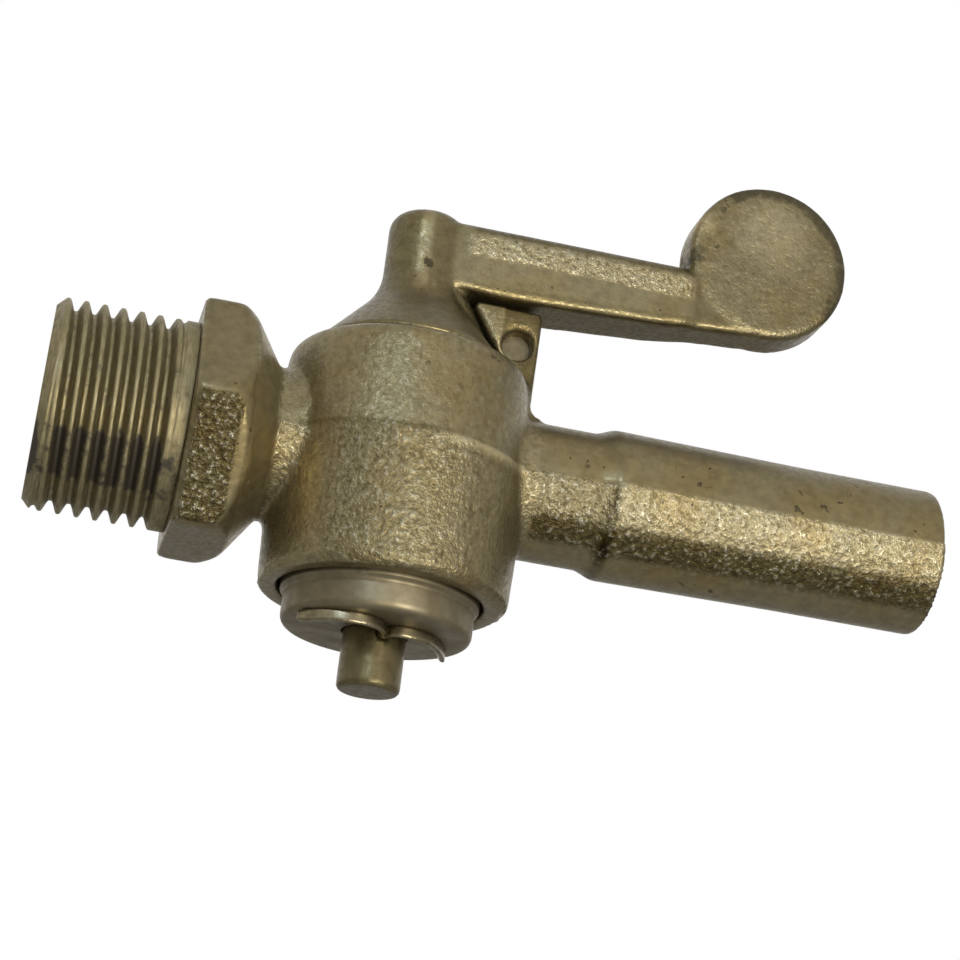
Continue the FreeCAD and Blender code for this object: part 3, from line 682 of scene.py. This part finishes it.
# Dark smut over the grooves, and a painted shaded band across the lower front.
smut_and_shade = product_on(tree, sum_on(tree, patch, -0.5), 2.4)
smut_and_shade = ranged_on(tree, sum_on(tree, kept_value(tree, "grime_and_shade"), smut_and_shade), 0.20, 0.80)
colour = blended(tree, ramp_on(tree, streak, THREAD_BRASS), THREAD_SMUT_AND_SHADE, smut_and_shade)
wire_up(tree, colour, shader.inputs["Base Color"])
wire_up(tree, number_on(tree, "MULTIPLY_ADD", smut_and_shade, -0.5, 1.0), shader.inputs["Metallic"])
wire_up(tree, ranged_on(tree, patch, 0.3, 0.7, 0.50, 0.62), shader.inputs["Roughness"])

chamfer_x = THREAD_END_X + THREAD_CHAMFER
outer = [(at, THREAD_MAJOR_R) for at in np.linspace(HEX_FACE_X, chamfer_x, THREAD_STEPS_ALONG)]
chamfer = [
    (at, THREAD_MAJOR_R - (chamfer_x - at))
    for at in np.linspace(chamfer_x, THREAD_END_X, THREAD_CHAMFER_STEPS + 1)[1:]
]
bore_line = [
    (THREAD_END_X, INLET_BORE_R + INLET_BORE_CHAMFER),
    (THREAD_END_X + INLET_BORE_CHAMFER, INLET_BORE_R),
    (HEX_FACE_X, INLET_BORE_R),
]
thread = turned_ring("inlet_thread", outer + chamfer + bore_line, THREAD_STEPS_AROUND)
run_tree(thread, thread_tree(thread_cut), THREAD_SHAPE)
x, y, z = points_of(thread).T
flow_r = np.hypot(y, z)
# Soil deep in the grooves all round, and a painted shaded band across the lower front over crests and
# grooves.
deep = rising(THREAD_MAJOR_R - flow_r, 0.15 * MM, 0.9 * MM) * (flow_r > INLET_BORE_R + 0.6 * MM)
painted_shade_band = window(np.degrees(np.arctan2(z, -y)), -58.0, -36.0, 11.0) * (y < 0.0)
keep_values(thread, "grime_and_shade", deep * (0.16 + 0.70 * painted_shade_band) + 0.40 * painted_shade_band)
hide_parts("valve_body")
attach(thread, "body")


# Lever: taper plug, stem, flare, arm and thumb disc in one nickel-plated brass casting. Only the
# taper, the stem and the face under the skirt are machined, so only they are smooth.
LEVER_VOXEL = 0.28 * MM
SKIRT_FOOT_Z = 11.3 * MM
FLARE_TOP_Z = 17.5 * MM
FLARE_R = 14.0 * MM
BOSS_REACH = 7.0 * MM
STEM_TOP_Z = -13.0 * MM
DISC_X = 36.2 * MM
DISC_Z = 29.3 * MM
DISC_REACH = 9.6 * MM
ARM_START = 5.0 * MM
ARM_END = 27.5 * MM
ARM_SAG = 0.35 * MM
PORE_DEPTH = 0.07 * MM
PORES = (
    (21.62 * MM, 20.95 * MM, 0.25 * MM),
    (21.92 * MM, 20.66 * MM, 0.20 * MM),
    (21.38 * MM, 21.20 * MM, 0.15 * MM),
)
LEVER_SKIN = {
    "Grain Size": 0.45 * MM,
    "Grain Height": 0.02 * MM,
    "Lump Size": 3.2 * MM,
    "Lump Height": 0.12 * MM,
}
# Painted light and rubbing for the lever: the zones below are lightened or darkened, most as painted
# highlights and painted shade.
LEVER_LIGHT_AND_WEAR = {
    "arm_highlight_band": 0.36,
    "upper_arm_shade": -0.50,
    "arm_underside_shade": -0.30,
    "arm_edge": -0.28,
    "boss_and_flare": -0.26,
    "boss": -0.06,
    "boss_painted_highlight": 0.42,
    "flare": -0.05,
    "gusset": -0.30,
    "disc": -0.14,
    "disc_painted_highlight": 0.42,
    "disc_rim": -0.15,
    "rim_painted_highlight": 0.50,
    "stem": -0.34,
    "pore": -1.2,
}
LEAST_LIGHT_AND_WEAR = -0.75


def spot(across, up, at_across, at_up, inner, outer):
    """1 near a point of a plane, falling to 0 between two distances from it."""
    return 1.0 - rising(np.hypot(across - at_across, up - at_up), inner, outer)


lever_casting = plated_casting(
    "lever_casting",
    brass=(0.182, 0.142, 0.066),
    nickel=(0.182, 0.151, 0.080),
    grime_and_shade=(0.050, 0.040, 0.021),
    grain_height=0.10 * MM,
)
lever = solid_copy("lever_plug", "cast_lever")
resampled(lever, LEVER_VOXEL, SKIN_SMOOTHING)
place = points_of(lever)
facing = normals_of(lever)
x, y, z = place.T
turn = turn_of(facing)
cast = (z > SKIRT_FOOT_Z).astype(float)
along_arm = x - PLUG_X
plug_r = np.hypot(along_arm, y)
disc_x = along_arm - DISC_X
disc_z = z - DISC_Z
disc_r = np.hypot(disc_x, disc_z)
arm_top_z = 26.85 * MM + 0.0076 * along_arm
arm_under_z = 19.1 * MM + 0.050 * along_arm

on_arm = window(along_arm, ARM_START, ARM_END, 1.5 * MM)
on_disc = 1.0 - rising(disc_r, 8.3 * MM, 8.9 * MM)
near_boss = (plug_r < BOSS_REACH) * (1.0 - on_arm)
below_gusset_top = (z < arm_under_z - 0.3 * MM) & (disc_r > DISC_REACH)
under_line = window(z - arm_under_z, -0.8 * MM, 0.6 * MM, 0.4 * MM)
flat_face = 0.55 + 0.45 * (abs(facing[:, 1]) > 0.35)
disc_edge = rising(disc_r, 5.6 * MM, 8.0 * MM) * (disc_r < DISC_REACH) * flat_face
pore = np.zeros(len(x))
for pore_x, pore_z, pore_r in PORES:
    pore = np.maximum(pore, spot(x, z, pore_x, pore_z, pore_r, 1.9 * pore_r) * (y < 0.0))
# Zones of painted light: the arm's band, the boss's front, the disc's upper middle and its left rim are
# painted highlights; the arm's top edge and its underside are painted shade. The disc's rim is darkened as
# soil and painted shade, the gusset and the arm's lower edge are darker, and the boss, the flare, the disc
# and the stem take their own browned tone; the pores are dark pits.
zones = {
    "arm_highlight_band": on_arm * window(arm_top_z - z, 1.7 * MM, 3.4 * MM, 0.6 * MM),
    "upper_arm_shade": on_arm * window(arm_top_z - z, -0.6 * MM, 1.0 * MM, 0.5 * MM),
    "arm_underside_shade": on_arm * rising(-facing[:, 2], 0.75, 0.95),
    "arm_edge": on_arm * under_line * (facing[:, 1] < -0.2),
    "boss_and_flare": (1.0 - on_arm) * (1.0 - on_disc) * cast,
    "boss": near_boss,
    "boss_painted_highlight": window(turn, -15.0, -4.0, 8.0) * rising(z, 17.0 * MM, 19.0 * MM) * near_boss,
    "flare": window(z, SKIRT_FOOT_Z, FLARE_TOP_Z, 1.0 * MM) * (plug_r < FLARE_R),
    "gusset": on_arm * (along_arm > 3.5 * MM) * below_gusset_top,
    "disc": on_disc,
    "disc_painted_highlight": on_disc * spot(disc_x, disc_z, 0.0, 3.5 * MM, 1.5 * MM, 5.5 * MM),
    "disc_rim": disc_edge * rising(disc_x + disc_z, -2.5 * MM, 3.0 * MM),
    "rim_painted_highlight": spot(disc_x, disc_z, -7.6 * MM, 3.0 * MM, 0.5 * MM, 2.0 * MM),
    "stem": z < STEM_TOP_Z,
    "pore": pore,
}
keep_values(lever, "light_and_wear", np.maximum(blended_zones(zones, LEVER_LIGHT_AND_WEAR), LEAST_LIGHT_AND_WEAR))
sand = 0.25 + 1.10 * zones["arm_highlight_band"] + 0.32 * on_disc - 0.12 * zones["flare"]
keep_values(lever, "rough", sand * (MACHINED_SAND + (1.0 - MACHINED_SAND) * cast))
keep_values(lever, "hollow", hollows_of(lever) * cast)
flare_foot = zones["flare"] * window(z, SKIRT_FOOT_Z, 12.6 * MM, 0.8 * MM)
# A darker patch where the disc meets the arm; the arm's top edge is darkened as painted shade, the disc's
# rim as soil and painted shade, and the flare's foot is darker.
disc_junction_patch = spot(disc_x, disc_z, -7.7 * MM, -0.6 * MM, 0.6 * MM, 1.9 * MM)
dirt_and_shade = 0.86 * zones["disc_rim"] + 0.75 * disc_junction_patch + 0.40 * zones["upper_arm_shade"] + 0.42 * flare_foot
keep_values(lever, "dirt_and_shade", dirt_and_shade + 2.0 * pore)

arm_middle_z = 0.5 * (arm_top_z + arm_under_z)
sag = np.clip((arm_middle_z - z) / (arm_middle_z - arm_under_z), 0.0, 1.0)
place[:, 2] -= ARM_SAG * sag * window(along_arm, 9.0 * MM, 24.0 * MM, 6.0 * MM)
place += facing * (SKIN_ALLOWANCE * cast - PORE_DEPTH * pore)[:, None]
move_points(lever, place)
run_tree(lever, skin_grain_tree("cast_lever_skin", lever_casting), LEVER_SKIN)
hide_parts("lever_plug")
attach(lever, "lever")


# Small steel pieces: the stop pin driven through the web, the coil spring under the barrel, and the
# split pin, whose half-round legs are curled apart in front of the stem and are shown with soft edges.
PIN_VOXEL = 0.11 * MM
PIN_SMOOTHING = 4
PIN_ALLOWANCE = 0.12 * MM
PIN_TIP_ROUNDS = 14
STEEL_GRIME = (0.030, 0.024, 0.014)
STEELS = {
    "stop_pin_steel": ((0.100, 0.080, 0.045), (0.170, 0.138, 0.080), 900.0, 0.48),
    "spring_steel": ((0.10, 0.09, 0.07), (0.20, 0.18, 0.14), 500.0, 0.40),
    "split_pin_steel": ((0.13, 0.105, 0.060), (0.23, 0.195, 0.12), 900.0, 0.30),
    "cup_steel": ((0.142, 0.115, 0.067), (0.205, 0.172, 0.105), 380.0, 0.47),
}


def steel(name):
    """Plated steel with faint clouds of tarnish and soil in patches, from its row of the table."""
    dark, light, scale, roughness = STEELS[name]
    material, tree, shader = shader_on(name)
    tarnish = noise_on(tree, scale, 3.0, 0.55)
    patch = ranged_on(tree, noise_on(tree, 480.0, 4.0, 0.6), 0.60, 0.78, 0.0, 0.6)
    colour = ramp_on(tree, tarnish, ((0.32, dark), (0.68, light)))
    wire_up(tree, blended(tree, colour, STEEL_GRIME, patch), shader.inputs["Base Color"])
    shader.inputs["Metallic"].default_value = 1.0
    dullness = ranged_on(tree, tarnish, 0.3, 0.7, roughness + 0.08, roughness - 0.04)
    wire_up(tree, dullness, shader.inputs["Roughness"])
    return material


for node in ("stop_pin", "spring"):
    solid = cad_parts[node]
    solid.data.materials.clear()
    solid.data.materials.append(steel(node + "_steel"))

split_pin = solid_copy("split_pin", "curled_split_pin")
resampled(split_pin, PIN_VOXEL, PIN_SMOOTHING)
place = points_of(split_pin)
tip = 1.0 - rising(place[:, 0] - place[:, 0].min(), 0.3 * MM, 0.9 * MM)
place = eased_points(split_pin, place, PIN_TIP_ROUNDS, 0.6 * tip)
move_points(split_pin, place + normals_of(split_pin) * PIN_ALLOWANCE)
split_pin.data.materials.append(steel("split_pin_steel"))
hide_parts("split_pin")
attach(split_pin, "lever")


# Spring cup: deep-drawn from plated steel sheet, with a rolled lip at its mouth and a tight round at its
# floor. It rides up the stem on the spring and the split pin holds it from below.
CUP_R = 9.45 * MM
CUP_LIP_R = 9.85 * MM
CUP_WALL = 0.8 * MM
CUP_FLOOR_Z = -17.45 * MM
CUP_TOP_Z = -11.2 * MM
CUP_LIP_Z = -14.5 * MM
CUP_LIP_SLOPE = 0.4 * MM
CUP_HOLE_R = 3.3 * MM
CUP_EDGE = 0.15 * MM
CUP_ROUND = 0.95 * MM
CUP_INNER_ROUND = 0.5 * MM
CUP_STEPS_AROUND = 144


def rounded_outline(corners, arc_points=7):
    """Closed (place, radius) outline from (place, radius, round) corners."""
    outline = []
    count = len(corners)
    for index, (at, reach, size) in enumerate(corners):
        corner = Vector((at, reach))
        before = Vector(corners[index - 1][:2]) - corner
        after = Vector(corners[(index + 1) % count][:2]) - corner
        half = before.angle(after) / 2.0
        cut = min(size / math.tan(half), 0.45 * before.length, 0.45 * after.length)
        start = corner + before.normalized() * cut
        end = corner + after.normalized() * cut
        for t in np.linspace(0.0, 1.0, arc_points):
            outline.append(tuple((1 - t) ** 2 * start + 2 * t * (1 - t) * corner + t ** 2 * end))
    return outline


cup_outline = rounded_outline([
    (CUP_FLOOR_Z, CUP_HOLE_R, CUP_EDGE),
    (CUP_FLOOR_Z, CUP_R, CUP_ROUND),
    (CUP_LIP_Z, CUP_R, CUP_INNER_ROUND),
    (CUP_LIP_Z + CUP_LIP_SLOPE, CUP_LIP_R, 2.0 * CUP_EDGE),
    (CUP_TOP_Z, CUP_LIP_R, CUP_EDGE),
    (CUP_TOP_Z, CUP_R - CUP_WALL, CUP_EDGE),
    (CUP_FLOOR_Z + CUP_WALL, CUP_R - CUP_WALL, CUP_INNER_ROUND),
    (CUP_FLOOR_Z + CUP_WALL, CUP_HOLE_R, CUP_EDGE),
])
cup = turned_ring("pressed_cup", cup_outline, CUP_STEPS_AROUND, centre=(PLUG_X, 0.0), along="Z")
cup.data.materials.append(steel("cup_steel"))
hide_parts("spring_cup")
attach(cup, "lever")


# Studio: a plain pale floor below, white all round, and three soft lamps. The camera stands low in
# front on the left and looks up, as the tap was photographed.
FLOOR_Z = -0.30
FLOOR_HALF = 30.0
FLOOR_COLOUR = (0.80, 0.80, 0.80, 1.0)
WHITE = (1.0, 1.0, 1.0, 1.0)
AMBIENT = 0.45
CAMERA_AT = Vector((-14.504, -232.678, -82.451)) * MM
CAMERA_RIGHT = Vector((0.9675146, -0.2264892, 0.1123304))
CAMERA_UP = Vector((-0.1788054, -0.2989138, 0.9373789))
CAMERA_LENS = 93.593
LAMP_TARGET = Vector((0.028, 0.0, 0.005))
LAMPS = (
    # name, turn and height in degrees, distance, size, watts, tint
    ("front_soft", 16.0, -14.0, 0.55, (0.24, 0.13), 2.48, (1.0, 0.98, 0.94)),
    ("left_strip", -20.0, 20.0, 0.50, (0.18, 0.05), 0.64, (0.55, 0.72, 1.0)),
    ("top_soft", 20.0, 60.0, 0.60, (0.30, 0.30), 0.15, (1.0, 1.0, 1.0)),
)

floor_mesh = bpy.data.meshes.new("floor")
corners = [
    (side * FLOOR_HALF, far * FLOOR_HALF, FLOOR_Z)
    for side, far in ((-1, -1), (1, -1), (1, 1), (-1, 1))
]
floor_mesh.from_pydata(corners, [], [(0, 1, 2, 3)])
floor = bpy.data.objects.new("floor", floor_mesh)
scene.collection.objects.link(floor)
floor_paint, tree, shader = shader_on("floor_paint")
shader.inputs["Base Color"].default_value = FLOOR_COLOUR
shader.inputs["Roughness"].default_value = 0.9
floor_mesh.materials.append(floor_paint)

world = bpy.data.worlds.new("studio_white")
world.use_nodes = True
scene.world = world
tree = world.node_tree
sky = tree.nodes["Background"]
sky.inputs["Color"].default_value = WHITE
ray = tree.nodes.new("ShaderNodeLightPath").outputs
seen = number_on(tree, "MAXIMUM", ray["Is Camera Ray"], ray["Is Glossy Ray"])
seen = number_on(tree, "MAXIMUM", seen, ray["Is Transmission Ray"])
level = tree.nodes.new("ShaderNodeMapRange")
wire_up(tree, seen, level.inputs["Value"])
level.inputs["To Min"].default_value = AMBIENT
level.inputs["To Max"].default_value = 1.0
wire_up(tree, level.outputs[0], sky.inputs["Strength"])

for name, turn, height, distance, (width, depth), watts, tint in LAMPS:
    light = bpy.data.lights.new(name, "AREA")
    light.shape = "RECTANGLE"
    light.size = width
    light.size_y = depth
    light.energy = watts
    light.color = tint
    lamp = bpy.data.objects.new(name, light)
    level_reach = distance * math.cos(math.radians(height))
    sideways = level_reach * math.sin(math.radians(turn))
    forward = -level_reach * math.cos(math.radians(turn))
    lamp.location = LAMP_TARGET + Vector((sideways, forward, distance * math.sin(math.radians(height))))
    lamp.rotation_euler = (LAMP_TARGET - lamp.location).to_track_quat("-Z", "Y").to_euler()
    scene.collection.objects.link(lamp)

camera_data = bpy.data.cameras.new("photo_view")
camera_data.sensor_width = 36.0
camera_data.lens = CAMERA_LENS
camera_data.clip_start = 0.01
camera = bpy.data.objects.new("photo_view", camera_data)
axes = Matrix((CAMERA_RIGHT, CAMERA_UP, CAMERA_RIGHT.cross(CAMERA_UP))).transposed()
camera.matrix_world = Matrix.Translation(CAMERA_AT) @ axes.to_4x4()
scene.collection.objects.link(camera)
scene.camera = camera
scene.view_settings.view_transform = "Standard"
